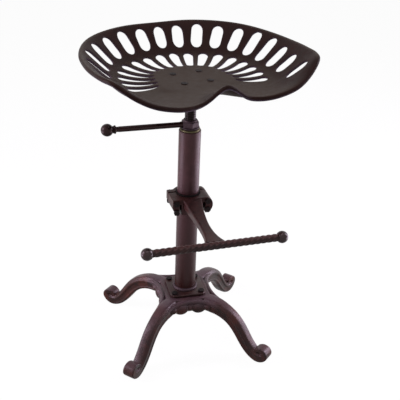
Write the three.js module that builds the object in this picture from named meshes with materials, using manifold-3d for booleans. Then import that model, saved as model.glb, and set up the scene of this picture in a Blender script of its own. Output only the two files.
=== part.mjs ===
// Tractor seat stool: a slotted cast seat on a lift screw, a pipe column with a
// clamped footrest, and a four-legged cast base. Sizes are in mm. X runs across
// the seat, -Y is the seat's open front and +Z is up. The floor is at zero, and
// the origin is the middle of the stool's footprint.
import * as THREE from 'three';
import { mergeVertices } from 'three/addons/utils/BufferGeometryUtils.js';
import Module from 'manifold-3d';

const wasm = await Module();
wasm.setup();

// Sizes that several pieces share.
const fit = 0.3;
const overrun = 3;
const edgeShare = 0.95;
const columnSetback = 16;
const roundFacets = 28;
const smallFacets = 12;
const ballFacets = 16;
const degrees = Math.PI / 180;
const right = Math.PI / 2;
const legCount = 4;

// Heights above the floor.
const plateTop = 128;
const columnTop = 526;
const discTop = 643;
const leverHeight = 538.5;
const clampMiddle = 357;
const barRise = 1;
const barHeight = clampMiddle + barRise;

// Turns about the column, in degrees from the seat's own front.
const baseTurn = -11;
const footrestTurn = -7.7;
const leverTurn = 170.6;

// Column, its foot and the parts in its top.
const columnRadius = 24;
const columnBore = 20.8;
const columnFoot = 98;
const plateHalf = 41.5;
const plateThickness = 6;
const plateChamfer = 7;
const footRingRadius = 27;
const footRingHeight = 6;
const insertLength = 36;
const topRingRadius = 21.8;
const topRingHeight = 4.5;

// Lift screw, its guide in the column and the boss on top.
const screwRadius = 12;
const screwTop = 628;
const screwShoulder = 328;
const journalRadius = 6;
const journalLength = 28;
const endNutRadius = 10.8;
const guideHeight = 20;
const endNutHeight = 6;
const bossRadius = 20;
const bossBottom = 600;
const flangeRadius = 56;
const flangeThickness = 6;
const flangeCone = 5;
const pinRadius = 3;

// Lock nut and lever.
const nutCornerRadius = 18;
const nutSkirtRadius = 20;
const nutSkirtHeight = 3;
const nutHeight = 15;
const nutDomeHeight = 4;
const nutDomeRadius = 15.5;
const rodRadius = 5.6;
const rodReach = 164;
const rodSocketDepth = 2.4;
const leverCollarRadius = 9.2;
const leverCollarWidth = 6.5;
const leverCollarEdgeShare = 0.8;
const ballRadius = 13;
const ballNeck = 2.5;
const ballSides = 8;
const hexTurn = 30;

// Seat pan.
const seatHalfWidth = 237;
const seatRise = 58;
const panThickness = 5;
const rimBead = 5;
const seatBoltCircle = 41.8;
const seatBoltRadius = 4;
const seatHeadRadius = 7.5;
const seatHeadHeight = 3;
const seatHeadTopShare = 0.8;
const seatHeadEdgeShare = 0.7;
const seatNutRadius = 7.5;
const seatNutHeight = 6.5;
const seatBoltTail = 2;

// Footrest clamp, arm and bar.
const linerThickness = 2;
const clampHeight = 38;
const clampHalfWidth = 44;
const clampFront = 36;
const clampSplit = 3.5;
const clampBack = 20;
const clampBackRadius = 35;
const splitGap = 3;
const earChamfer = 9;
const reliefWidth = 3.5;
const reliefHeight = 26;
const armRootHalf = 23;
const clampBoltOffset = 35.5;
const clampBoltPitch = 21;
const clampBoltRadius = 4;
const clampHeadRadius = 7;
const clampHeadHeight = 5;
const armReach = 205;
const armWaistHalf = 11;
const armFlareHalf = 25;
const armDepthRoot = 21;
const armDepthTip = 13;
const armSag = 8;
const armWaistShares = [0.35, 0.72];
const barHalfDiagonal = 10;
const barHalfLength = 134;
const barTwistPitch = 80;
const barNeckRadius = 7;
const barCornerTurn = 8;
const barSteps = 40;

// Plate bolts.
const plateBoltOffset = 31.5;
const plateBoltRadius = 4;
const plateHeadRadius = 7;
const plateHeadHeight = 4;
const plateBoltLength = 22;

// Base casting.
const hubBottom = 84;
const hubFootHalf = 43;
const hubBulgeHalf = 53;
const legStart = 74;
const legReach = 151;
const legRootDepth = 34;
const legHalfWidth = 14;
const legHubHalfWidth = 17;
const swagHalfWidth = 38;
const swagHeight = 32;
const swagDepth = 10;
const hubFacets = 32;
const cornerSharpness = 4;
const legSteps = 28;
const legFlareEnd = 133;
const footTaper = 0.2;

// The seat's rim, from the middle of the back round to the middle of the front.
const rimAngles = [0, 25, 50, 75, 90, 105, 115, 122, 130, 138, 146, 154, 162, 168, 174, 180];
const rimRadiusShares = [0.86, 0.912, 0.962, 0.975, 0.99, 1.035, 1.08, 1.09, 1.04, 0.98, 0.9,
  0.82, 0.745, 0.725, 0.715, 0.71];
const rimHeightShares = [1.04, 1.04, 1.02, 0.99, 1.01, 1.06, 1.1, 1.06, 0.69, 0.42, 0.26,
  0.18, 0.2, 0.36, 0.59, 0.71];
// The pan's section: how much of the rim's height it has reached at each share of the radius.
const sectionShares = [0, 0.34, 0.42, 0.54, 0.67, 0.76, 0.82, 0.88, 0.94, 1];
const wallShares = [0, 0, -0.04, -0.03, 0.07, 0.24, 0.43, 0.65, 0.86, 1];
const frontShares = [0, 0, 0, 0.05, 0.17, 0.32, 0.45, 0.62, 0.81, 1];
const frontBlend = [132, 160];
const panTopShares = [0.06, 0.36, 0.5, 0.63, 0.75, 0.87, 1];
const panLowShares = [0.965, 0.85, 0.72, 0.56, 0.36, 0.06];
const beadTurns = [40, -15, -70];
const rimPoints = 60;
const normalStep = 0.01;
// Slots: widths and places are shares of the seat's half width.
const outerSlotWidthShare = 0.1034;
const outerSlotTurns = [0, 13.75, 27.5, 41.1, 54.4, 67.4, 80.4, 93.4, 105.8, 120];
const outerSlotNearShares = [0.75, 0.742, 0.738, 0.737, 0.733, 0.728, 0.718, 0.715, 0.722, 0.745];
const outerSlotFarShares = [0.926, 0.922, 0.93, 0.922, 0.928, 0.94, 0.935, 0.903, 0.885, 0.9];
const innerSlotWideShare = 0.0886;
const innerSlotNarrowShare = 0.0527;
const innerSlotForwardShare = 0.0637;
const innerSlotStep = 12.6;
const innerSlotSkew = 6.2;
const innerSlotReach = 8;
const innerSlotAngles = [0, 20, 45, 60, 80, 100];
const innerSlotPlaceShares = [0.511, 0.519, 0.546, 0.538, 0.532, 0.544];
const innerSlotLengthShares = [0.283, 0.283, 0.283, 0.278, 0.232, 0.194];

// Leg from the hub to the end of the foot's scroll: shares of its reach, the rise of its underside
// and its depth at the root.
const legReachShares = [0, 0.12, 0.246, 0.364, 0.464, 0.543, 0.61, 0.682, 0.768, 0.861, 0.947,
  0.993, 0.98, 0.917, 0.854, 0.841];
const legRiseShares = [1, 0.985, 0.925, 0.82, 0.672, 0.505, 0.34, 0.182, 0.05, 0, 0.045,
  0.145, 0.255, 0.31, 0.28, 0.23];
const legDepthShares = [1, 1, 0.97, 0.94, 0.91, 0.88, 0.85, 0.82, 0.765, 0.647, 0.53,
  0.456, 0.382, 0.338, 0.28, 0.235];
const legSectionShares = [[0.62, 1], [-0.62, 1], [-1, 0.5], [-0.92, -0.5], [-0.6, -1],
  [0.6, -1], [0.92, -0.5], [1, 0.5]];
// Lobes of the carved swag under each side of the hub: place across, place up and size.
const swagLobeShares = [[-0.8, -0.1, 0.32], [-0.42, -0.3, 0.44], [0, 0.05, 0.3],
  [0.42, -0.3, 0.44], [0.8, -0.1, 0.32]];

const group = new THREE.Group();

function add(name, geometry, color, roughness = 0.6, metalness = 0.5) {
  geometry.translate(0, columnSetback, 0);
  geometry.computeVertexNormals();
  const mesh = new THREE.Mesh(geometry, new THREE.MeshStandardMaterial({ color, roughness, metalness }));
  mesh.name = name;
  group.add(mesh);
}

function solid(geometry) {
  const bare = geometry.clone();
  bare.deleteAttribute('normal');
  bare.deleteAttribute('uv');
  const welded = mergeVertices(bare);
  return new wasm.Manifold(new wasm.Mesh({
    numProp: 3,
    vertProperties: new Float32Array(welded.attributes.position.array),
    triVerts: new Uint32Array(welded.index.array),
  }));
}

function shell(body) {
  const mesh = body.getMesh();
  const geometry = new THREE.BufferGeometry();
  geometry.setAttribute('position', new THREE.BufferAttribute(new Float32Array(mesh.vertProperties), 3));
  geometry.setIndex(new THREE.BufferAttribute(new Uint32Array(mesh.triVerts), 1));
  return geometry;
}

function without(body, ...cutters) {
  return cutters.reduce((rest, cutter) => rest.subtract(cutter), body);
}

// An upright cylinder between two heights.
function rod(radius, low, high, facets = roundFacets, topRadius = radius) {
  const geometry = new THREE.CylinderGeometry(topRadius, radius, high - low, facets);
  return geometry.rotateX(right).translate(0, 0, (low + high) / 2);
}

// A body turned about the upright axis from [radius, height] pairs, closed on itself.
function turned(profile, facets = roundFacets) {
  const points = profile.map(([radius, height]) => new THREE.Vector2(radius, height));
  points.push(points[0].clone());
  return new THREE.LatheGeometry(points, facets).rotateX(right);
}

function ringBetween(inner, outer, low, high) {
  return turned([[inner, low], [outer, low], [outer, high], [inner, high]]);
}

// A ring with its upper outer edge eased.
function easedRing(inner, outer, low, height) {
  return turned([[inner, low], [outer, low], [outer, low + height / 2],
    [outer * edgeShare, low + height], [inner, low + height]]);
}

function box(x0, x1, y0, y1, z0, z1) {
  const geometry = new THREE.BoxGeometry(x1 - x0, y1 - y0, z1 - z0);
  return geometry.translate((x0 + x1) / 2, (y0 + y1) / 2, (z0 + z1) / 2);
}

function upright(shape, low, high) {
  const options = { depth: high - low, bevelEnabled: false, curveSegments: 4 };
  return new THREE.ExtrudeGeometry(shape, options).translate(0, 0, low);
}

function hexagon(radius, low, high) {
  return rod(radius, low, high, 6);
}

// A closed body through rings of points, with flat ends.
function ringBody(rings) {
  const count = rings[0].length;
  const positions = rings.flat().flatMap((p) => [p.x, p.y, p.z]);
  const indices = [];
  rings.slice(1).forEach((ring, row) => {
    ring.forEach((_, i) => {
      const j = (i + 1) % count;
      const near = row * count;
      const far = near + count;
      indices.push(near + i, near + j, far + j, near + i, far + j, far + i);
    });
  });
  const cap = (ring, start, flip) => {
    const middle = ring.reduce((sum, p) => sum.add(p), new THREE.Vector3()).divideScalar(count);
    positions.push(middle.x, middle.y, middle.z);
    const hub = positions.length / 3 - 1;
    ring.forEach((_, i) => {
      const j = (i + 1) % count;
      indices.push(hub, start + (flip ? j : i), start + (flip ? i : j));
    });
  };
  cap(rings[0], 0, true);
  cap(rings[rings.length - 1], (rings.length - 1) * count, false);
  const geometry = new THREE.BufferGeometry();
  geometry.setAttribute('position', new THREE.Float32BufferAttribute(positions, 3));
  geometry.setIndex(indices);
  return geometry;
}

// A smooth value between table entries, level at both ends.
function smoothTable(xs, ys) {
  const slope = (i) => (i === 0 || i === xs.length - 1
    ? 0 : (ys[i + 1] - ys[i - 1]) / (xs[i + 1] - xs[i - 1]));
  return (x) => {
    let i = 0;
    while (i < xs.length - 2 && x > xs[i + 1]) i += 1;
    const span = xs[i + 1] - xs[i];
    const t = Math.min(1, Math.max(0, (x - xs[i]) / span));
    const ease = t * t * (3 - 2 * t);
    const bend = t * (1 - t);
    return ys[i] + (ys[i + 1] - ys[i]) * ease
      + bend * ((1 - t) * slope(i) - t * slope(i + 1)) * span;
  };
}

// Seat.
const rimRadius = smoothTable(rimAngles, rimRadiusShares);
const rimHeight = smoothTable(rimAngles, rimHeightShares);
const wallRise = smoothTable(sectionShares, wallShares);
const frontRise = smoothTable(sectionShares, frontShares);

function fold(angle) {
  return Math.abs(THREE.MathUtils.euclideanModulo(angle + 180, 360) - 180);
}

function rimAt(angle) {
  return seatHalfWidth * rimRadius(fold(angle));
}

// A point on the pan's top at an angle from the back and a share of the way to the rim.
function panPoint(angle, share) {
  const turn = fold(angle);
  const radius = (rimAt(angle) - rimBead) * share;
  const blend = THREE.MathUtils.smoothstep(turn, ...frontBlend);
  const rise = wallRise(share) * (1 - blend) + frontRise(share) * blend;
  const height = discTop + seatRise * rimHeight(turn) * rise;
  return new THREE.Vector3(radius * Math.sin(angle * degrees), radius * Math.cos(angle * degrees), height);
}

function panNormal(angle, share) {
  const out = panPoint(angle, share + normalStep).sub(panPoint(angle, share - normalStep));
  const round = panPoint(angle + 1, share).sub(panPoint(angle - 1, share));
  return round.cross(out).normalize();
}

function panSolid() {
  const angles = Array.from({ length: rimPoints }, (_, i) => (i * 360) / rimPoints);
  const rings = panTopShares.map((share) => angles.map((angle) => panPoint(angle, share)));
  beadTurns.forEach((turn) => rings.push(angles.map((angle) => {
    const out = new THREE.Vector3(Math.sin(angle * degrees), Math.cos(angle * degrees), 0);
    const centre = panPoint(angle, 1).add(new THREE.Vector3(0, 0, -rimBead));
    centre.addScaledVector(out, rimBead * Math.cos(turn * degrees));
    return centre.add(new THREE.Vector3(0, 0, rimBead * Math.sin(turn * degrees)));
  })));
  panLowShares.forEach((share) => rings.push(angles.map((angle) => (
    panPoint(angle, share).addScaledVector(panNormal(angle, share), -panThickness)))));
  return solid(ringBody(rings));
}

// A slot cutter along a radius, with rounded ends of their own widths.
function slotCutter(angle, near, far, nearWidth, farWidth) {
  const shape = new THREE.Shape();
  const a = nearWidth / 2;
  const b = farWidth / 2;
  shape.absarc(0, near + a, a, Math.PI, 2 * Math.PI, false);
  shape.absarc(0, far - b, b, 0, Math.PI, false);
  shape.closePath();
  const low = discTop - seatRise;
  const high = discTop + 2 * seatRise;
  return solid(upright(shape, low, high).rotateZ(-angle * degrees));
}

function outerSlots() {
  const width = seatHalfWidth * outerSlotWidthShare;
  return outerSlotTurns.flatMap((turn, i) => {
    const ends = [outerSlotNearShares[i], outerSlotFarShares[i]].map((share) => rimAt(turn) * share);
    return (turn ? [-turn, turn] : [turn]).map((angle) => slotCutter(angle, ...ends, width, width));
  });
}

// The inner slots spread from a point ahead of the screw, and reach further forward on the right.
function innerSlots() {
  const placeShare = smoothTable(innerSlotAngles, innerSlotPlaceShares);
  const lengthShare = smoothTable(innerSlotAngles, innerSlotLengthShares);
  const [narrow, wide, forward] = [innerSlotNarrowShare, innerSlotWideShare, innerSlotForwardShare]
    .map((share) => seatHalfWidth * share);
  return Array.from({ length: 2 * innerSlotReach + 1 }, (_, i) => {
    const angle = (i - innerSlotReach) * innerSlotStep + innerSlotSkew;
    const middle = seatHalfWidth * placeShare(Math.abs(angle));
    const half = (seatHalfWidth * lengthShare(Math.abs(angle))) / 2;
    return slotCutter(angle, middle - half, middle + half, narrow, wide).translate(0, -forward, 0);
  });
}

function boltPlaces(radius, turn = 45) {
  return Array.from({ length: legCount }, (_, i) => (turn + i * 90) * degrees)
    .map((angle) => [radius * Math.cos(angle), radius * Math.sin(angle)]);
}

function at(geometry, [x, y]) {
  return geometry.clone().translate(x, y, 0);
}

const seatBolts = boltPlaces(seatBoltCircle);
const flangeTop = discTop - panThickness - fit;
const flangeBottom = flangeTop - flangeThickness;
const seatNutTop = flangeBottom - fit;
const iron = 0x3b322d;
const pipeBrown = 0x4a3538;
const boltBlack = 0x17161a;

function addSeat() {
  const hole = rod(seatBoltRadius + fit, flangeBottom - overrun, discTop + overrun, smallFacets);
  const holes = seatBolts.map((place) => solid(at(hole, place)));
  const cutters = [...outerSlots(), ...innerSlots(), ...holes];
  add('seat_pan', shell(without(panSolid(), ...cutters)), 0x3f3833, 0.5);

  const screwBore = solid(rod(screwRadius + fit, bossBottom - overrun, screwTop + fit));
  const pinHole = solid(pinBody(pinRadius + fit, bossRadius + overrun));
  const flange = solid(turned([[0, bossBottom], [bossRadius, bossBottom],
    [bossRadius, flangeBottom - flangeCone], [bossRadius + flangeCone, flangeBottom],
    [flangeRadius, flangeBottom], [flangeRadius, flangeTop], [0, flangeTop]]));
  add('seat_flange', shell(without(flange, screwBore, pinHole, ...holes)), iron);

  const head = solid(turned([[0, discTop + fit], [seatHeadRadius, discTop + fit],
    [seatHeadRadius * seatHeadTopShare, discTop + seatHeadHeight * seatHeadEdgeShare],
    [0, discTop + seatHeadHeight]], smallFacets));
  const nutLow = seatNutTop - seatNutHeight;
  const shank = solid(rod(seatBoltRadius, nutLow - seatBoltTail, discTop + seatHeadHeight / 2, smallFacets));
  const bore = solid(rod(seatBoltRadius + fit, nutLow - overrun, seatNutTop + overrun, smallFacets));
  const nut = solid(hexagon(seatNutRadius, nutLow, seatNutTop));
  seatBolts.forEach((place, i) => {
    add(`seat_bolt_${i + 1}`, at(shell(head.add(shank)), place), boltBlack);
    add(`seat_nut_${i + 1}`, at(shell(without(nut, bore)), place), boltBlack);
  });
}

// Lift screw.
function pinBody(radius, half) {
  return new THREE.CylinderGeometry(radius, radius, 2 * half, smallFacets).rotateZ(right)
    .translate(0, 0, (bossBottom + screwTop) / 2);
}

const journalEnd = screwShoulder - journalLength;
const guideTop = screwShoulder - fit;
const guideBottom = guideTop - guideHeight;

function addScrew() {
  const stem = solid(rod(screwRadius, screwShoulder, screwTop));
  const journal = solid(rod(journalRadius, journalEnd, screwShoulder + overrun, smallFacets));
  const pinHole = solid(pinBody(pinRadius + fit, bossRadius));
  add('lift_screw', shell(without(stem.add(journal), pinHole)), 0x1c1b1f, 0.45, 0.8);
  add('screw_pin', pinBody(pinRadius, bossRadius - fit), 0x6a6a6e, 0.4, 0.9);
  const guide = ringBetween(journalRadius + fit, columnBore - fit, guideBottom, guideTop);
  add('screw_guide', guide, 0x7c6a40, 0.5, 0.7);
  const top = guideBottom - fit;
  const nut = solid(hexagon(endNutRadius, top - endNutHeight, top));
  const bore = solid(rod(journalRadius + fit, top - endNutHeight - overrun, top + overrun, smallFacets));
  add('screw_end_nut', shell(without(nut, bore)), boltBlack, 0.5, 0.8);
}

// Column.
function addColumn() {
  const bore = screwRadius + fit;
  add('column_tube', ringBetween(columnBore, columnRadius, columnFoot, columnTop), pipeBrown, 0.45, 0.6);
  const insert = ringBetween(bore, columnBore - fit, columnTop - insertLength, columnTop);
  add('column_insert', insert, 0x6b5a38, 0.5, 0.7);
  const topRing = easedRing(bore, topRingRadius, columnTop + fit, topRingHeight);
  add('top_ring', topRing, 0x675c35, 0.45, 0.7);
  const footRing = easedRing(columnRadius + fit, footRingRadius, plateTop + fit, footRingHeight);
  add('foot_ring', footRing, 0x4c4349, 0.4, 0.7);
}

// Lock nut and lever.
const nutBottom = columnTop + topRingHeight + 2 * fit;
const nutTop = nutBottom + nutHeight;

function alongLever(geometry) {
  return geometry.rotateY(right).translate(0, 0, leverHeight).rotateZ(leverTurn * degrees);
}

function addLever() {
  const hexBody = solid(hexagon(nutCornerRadius, nutBottom, nutTop).rotateZ((leverTurn + hexTurn) * degrees));
  const skirt = solid(rod(nutSkirtRadius, nutBottom, nutBottom + nutSkirtHeight));
  const domeTop = nutTop + nutDomeHeight;
  const dome = solid(rod(nutDomeRadius, nutTop - fit, domeTop, roundFacets, screwRadius + overrun / 2));
  const bore = solid(rod(screwRadius + fit, nutBottom - overrun, domeTop + overrun));
  const rodStart = nutCornerRadius * Math.cos(hexTurn * degrees) - rodSocketDepth;
  const socketBody = rod(rodRadius + fit, rodStart - fit, nutSkirtRadius + overrun, smallFacets);
  const socket = solid(alongLever(socketBody));
  add('lock_nut', shell(without(hexBody.add(skirt).add(dome), bore, socket)), 0x2b2428, 0.4, 0.7);
  add('lever_rod', alongLever(rod(rodRadius, rodStart, rodReach, smallFacets)), boltBlack, 0.4, 0.7);

  const start = rodReach + fit - leverCollarWidth;
  const inside = rodRadius + fit;
  const edge = leverCollarRadius * leverCollarEdgeShare;
  const collar = turned([[inside, start], [edge, start], [leverCollarRadius, start + leverCollarWidth / 2],
    [edge, rodReach], [inside, rodReach]], smallFacets);
  add('lever_collar', alongLever(collar), boltBlack, 0.4, 0.7);
  add('lever_ball', alongLever(ball(ballRadius, rodReach + fit, ballNeck, rodRadius)), 0x2a2426, 0.35, 0.6);
}

// A ball with a short flat-faced neck that starts at a place along the axis.
function ball(radius, start, neck, neckRadius) {
  const open = Math.asin(neckRadius / radius);
  const centre = start + neck + radius * Math.cos(open);
  const profile = [[0, start], [neckRadius, start]];
  for (let i = 0; i <= ballSides; i += 1) {
    const turn = open + ((Math.PI - open) * i) / ballSides;
    profile.push([i === ballSides ? 0 : radius * Math.sin(turn), centre - radius * Math.cos(turn)]);
  }
  return turned(profile, ballFacets);
}

// Footrest.
const linerOuter = columnRadius + fit + linerThickness;
const clampLow = clampMiddle - clampHeight / 2;
const clampHigh = clampMiddle + clampHeight / 2;

function footrest(geometry) {
  return geometry.rotateZ(footrestTurn * degrees);
}

function clampBolts() {
  return [-1, 1].flatMap((side) => [-1, 1].map((level) => (
    [side * clampBoltOffset, clampMiddle + (level * clampBoltPitch) / 2])));
}

function boltAlong(radius, from, to, [x, z], facets = smallFacets) {
  return new THREE.CylinderGeometry(radius, radius, to - from, facets).translate(x, (from + to) / 2, z);
}

// The ears' outline seen from the front, with cut lower corners.
function earBlock(front, back) {
  const shape = new THREE.Shape();
  const half = clampHeight / 2;
  shape.moveTo(-clampHalfWidth + earChamfer, -half);
  shape.lineTo(clampHalfWidth - earChamfer, -half);
  shape.lineTo(clampHalfWidth, -half + 2 * earChamfer);
  shape.lineTo(clampHalfWidth, half);
  shape.lineTo(-clampHalfWidth, half);
  shape.lineTo(-clampHalfWidth, -half + 2 * earChamfer);
  shape.closePath();
  return solid(upright(shape, 0, back - front).rotateX(right).translate(0, back, clampMiddle));
}

function armSolid() {
  const root = clampFront - overrun;
  const tip = armReach;
  const plan = new THREE.Shape();
  const [near, far] = armWaistShares.map((share) => -(root + (tip - root) * share));
  const waist = (near + far) / 2;
  const flare = barHalfDiagonal - tip;
  plan.moveTo(-armRootHalf, -root);
  plan.bezierCurveTo(-armRootHalf, near, -armWaistHalf, near, -armWaistHalf, waist);
  plan.bezierCurveTo(-armWaistHalf, far, -armWaistHalf, flare, -armFlareHalf, -tip);
  plan.lineTo(armFlareHalf, -tip);
  plan.bezierCurveTo(armWaistHalf, flare, armWaistHalf, far, armWaistHalf, waist);
  plan.bezierCurveTo(armWaistHalf, near, armRootHalf, near, armRootHalf, -root);
  plan.closePath();
  const side = new THREE.Shape();
  const tipTop = barHeight + armDepthTip / 2;
  const middle = (root + tip) / 2;
  const sagTop = (clampHigh + tipTop) / 2 - 2 * armSag;
  side.moveTo(root, clampHigh);
  side.quadraticCurveTo(middle, sagTop, tip, tipTop);
  side.lineTo(tip, tipTop - armDepthTip);
  side.quadraticCurveTo(middle, sagTop - armDepthTip - overrun, root, clampHigh - armDepthRoot);
  side.closePath();
  const flank = upright(side, -clampHalfWidth, clampHalfWidth).rotateX(right).rotateZ(-right);
  const planTop = Math.max(clampHigh, tipTop) + overrun;
  return solid(upright(plan, sagTop - clampHeight, planTop)).intersect(solid(flank));
}

function addFootrest() {
  const bore = solid(rod(linerOuter + fit, clampLow - overrun, clampHigh + overrun));
  const boltHoles = clampBolts().map((place) => (
    solid(boltAlong(clampBoltRadius + fit, -clampFront - overrun, clampBack + overrun, place))));
  const reliefs = [-1, 1].map((side) => {
    const near = armRootHalf + overrun / 2;
    const [x0, x1] = side > 0 ? [near, near + reliefWidth] : [-near - reliefWidth, -near];
    const heights = [clampLow - overrun, clampLow + reliefHeight];
    return solid(box(x0, x1, -clampFront - overrun, -columnRadius / 2, ...heights));
  });
  const bedRadius = barHalfDiagonal + fit;
  const bed = new THREE.CylinderGeometry(bedRadius, bedRadius, 2 * clampHalfWidth, 2 * smallFacets);
  const barBed = solid(bed.rotateZ(right).translate(0, -armReach, barHeight));
  const front = without(earBlock(-clampFront, clampSplit), ...reliefs).add(armSolid());
  add('clamp_front_with_arm', footrest(shell(without(front, bore, barBed, ...boltHoles))), iron, 0.55);

  const rearFace = clampSplit + splitGap;
  const ears = earBlock(rearFace, clampBack);
  const behind = box(-clampHalfWidth, clampHalfWidth, rearFace, clampHalfWidth, clampLow, clampHigh);
  const round = solid(rod(clampBackRadius, clampLow, clampHigh)).intersect(solid(behind));
  add('clamp_rear', footrest(shell(without(ears.add(round), bore, ...boltHoles))), iron, 0.55);

  const headFace = -clampFront - clampHeadHeight;
  const nutFace = clampBack + clampHeadHeight;
  clampBolts().forEach((place, i) => {
    const head = solid(boltAlong(clampHeadRadius, headFace, -clampFront - fit, place, 6));
    const shank = boltAlong(clampBoltRadius, headFace + clampHeadHeight / 2, nutFace + overrun, place);
    add(`clamp_bolt_${i + 1}`, footrest(shell(head.add(solid(shank)))), boltBlack);
    const nut = solid(boltAlong(clampHeadRadius, clampBack + fit, nutFace, place, 6));
    const nutBore = boltAlong(clampBoltRadius + fit, clampBack - overrun, nutFace + overrun, place);
    add(`clamp_nut_${i + 1}`, footrest(shell(without(nut, solid(nutBore)))), boltBlack);
  });
  const liner = ringBetween(columnRadius + fit, linerOuter, clampLow - overrun, clampHigh + overrun);
  add('clamp_liner', footrest(liner), 0x1b1b1c, 0.9, 0);
  add('footrest_bar', footrest(barBody()), 0x3a2c2a, 0.5);
  [[-1, 'left'], [1, 'right']].forEach(([side, name]) => {
    const knob = ball(ballRadius, barHalfLength + fit, 0, barNeckRadius).rotateY(side * right);
    add(`footrest_knob_${name}`, footrest(knob.translate(0, -armReach, barHeight)), 0x3a2c2a, 0.4);
  });
}

// A square bar twisted along its length, with softened corners.
function barBody() {
  const corner = barCornerTurn * degrees;
  const rings = Array.from({ length: barSteps + 1 }, (_, i) => {
    const x = -barHalfLength + (2 * barHalfLength * i) / barSteps;
    const twist = ((x + barHalfLength) / barTwistPitch) * 2 * Math.PI;
    return Array.from({ length: 8 }, (__, k) => {
      const turn = Math.floor(k / 2) * right + (k % 2 ? corner : -corner) + twist;
      return new THREE.Vector3(x, barHalfDiagonal * Math.cos(turn), barHalfDiagonal * Math.sin(turn));
    });
  });
  return ringBody(rings).translate(0, -armReach, barHeight);
}

// Base.
const hubTop = plateTop - plateThickness - fit;
const legRise = hubTop - legRootDepth;
const legRootHeight = legRise + legRootDepth / 2;

function onBase(geometry, quarter = 0) {
  return geometry.rotateZ((baseTurn + 90 * quarter) * degrees);
}

// The hub's block: bulging sides between the four corners where the legs start.
function hubBody(growth) {
  const cornerRadius = legStart - legHubHalfWidth / 2;
  const levels = [[hubBottom, hubFootHalf],
    [(hubBottom + hubTop) / 2, (hubFootHalf + hubBulgeHalf) / 2],
    [hubTop - plateThickness, hubBulgeHalf], [hubTop, hubBulgeHalf - plateThickness / 2]];
  const rings = levels.map(([height, half], row) => Array.from({ length: hubFacets }, (_, i) => {
    const turn = (i * 2 * Math.PI) / hubFacets;
    const corner = Math.abs(Math.sin(2 * turn)) ** cornerSharpness;
    const radius = growth + half + (cornerRadius - half) * corner;
    const level = row === 0 ? height + (legRise - hubBottom) * corner - growth : height;
    return new THREE.Vector3(radius * Math.cos(turn), radius * Math.sin(turn), level);
  }));
  return ringBody(rings);
}

function legCurve() {
  const points = legReachShares.map((share, i) => {
    const depth = legRootDepth * legDepthShares[i];
    return new THREE.Vector3(legStart + legReach * share, depth, legRise * legRiseShares[i] + depth / 2);
  });
  return new THREE.CatmullRomCurve3(points, false, 'centripetal');
}

function legSolid() {
  const curve = legCurve();
  const rings = Array.from({ length: legSteps + 1 }, (_, i) => {
    const u = i / legSteps;
    const p = curve.getPoint(u);
    const t = i ? curve.getTangent(u).setY(0).normalize() : new THREE.Vector3(1, 0, 0);
    const flare = THREE.MathUtils.smoothstep(p.x, legStart, legFlareEnd);
    const foot = THREE.MathUtils.smoothstep(u, 1 - footTaper, 1) * footTaper;
    const half = (legHubHalfWidth + (legHalfWidth - legHubHalfWidth) * flare) * (1 - foot);
    return legSectionShares.map(([across, up]) => new THREE.Vector3(
      p.x - (t.z * up * p.y) / 2, across * half, p.z + (t.x * up * p.y) / 2));
  });
  return ringBody(rings);
}

// The stub on the hub that a leg grows from.
function stubBody(growth) {
  const half = legHubHalfWidth + growth;
  const depth = legRootDepth / 2 + growth;
  const rings = [hubFootHalf / 2, legStart - fit].map((x) => (
    legSectionShares.map(([across, up]) => new THREE.Vector3(x, across * half, legRootHeight + up * depth))));
  return ringBody(rings);
}

function hubSolid(growth = 0) {
  const stubs = boltPlaces(1).map((_, i) => solid(stubBody(growth).rotateZ(right / 2 + i * right)));
  return stubs.reduce((all, stub) => all.add(stub), solid(hubBody(growth)));
}

function swagSolid() {
  const swagMiddle = hubBottom + swagHeight / 2;
  const lobes = swagLobeShares.map(([across, up, size]) => {
    const lobe = new THREE.IcosahedronGeometry(1, 1);
    lobe.scale(swagHalfWidth * size, swagDepth, swagHeight * size);
    const out = hubFootHalf + swagDepth / 2 + swagDepth * across ** 2;
    return solid(lobe.translate(across * swagHalfWidth, out, swagMiddle + up * swagHeight));
  });
  return shell(without(lobes.reduce((all, lobe) => all.add(lobe)), hubSolid(fit)));
}

function plateOutline() {
  const inner = plateHalf - plateChamfer;
  const quarter = [[plateHalf, inner], [inner, plateHalf]];
  const points = [0, 1, 2, 3].flatMap((turn) => quarter.map(([x, y]) => (
    new THREE.Vector2(x, y).rotateAround(new THREE.Vector2(), turn * right))));
  return new THREE.Shape(points);
}

function addBase() {
  const columnHole = solid(rod(columnRadius + fit, hubBottom - overrun, plateTop + overrun));
  const bolts = boltPlaces(plateBoltOffset / Math.cos(right / 2));
  const shankLow = plateTop - plateBoltLength;
  const hole = rod(plateBoltRadius + fit, shankLow - fit, plateTop + overrun, smallFacets);
  const holes = bolts.map((place) => solid(at(hole, place)));
  add('base_hub', onBase(shell(without(hubSolid(), columnHole, ...holes))), iron, 0.55);

  const plate = solid(upright(plateOutline(), plateTop - plateThickness, plateTop));
  add('column_plate', onBase(shell(without(plate, columnHole, ...holes))), iron, 0.5);

  bolts.forEach((place, i) => {
    const head = solid(hexagon(plateHeadRadius, plateTop + fit, plateTop + plateHeadHeight));
    const shank = solid(rod(plateBoltRadius, shankLow, plateTop + plateHeadHeight / 2, smallFacets));
    add(`plate_bolt_${i + 1}`, onBase(at(shell(head.add(shank)), place)), boltBlack);
  });
  for (let i = 0; i < legCount; i += 1) {
    add(`leg_${i + 1}`, onBase(legSolid().rotateZ(right / 2), i), 0x45363a, 0.5);
    add(`swag_${i + 1}`, onBase(swagSolid(), i), 0x3f3134, 0.55);
  }
}

addSeat();
addScrew();
addColumn();
addLever();
addFootrest();
addBase();

export default group;
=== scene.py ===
from math import asin, cos, degrees, pi, radians, sin, sqrt

import bmesh
import bpy
import numpy as np
from mathutils import Matrix, Vector
from mathutils.geometry import delaunay_2d_cdt


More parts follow.
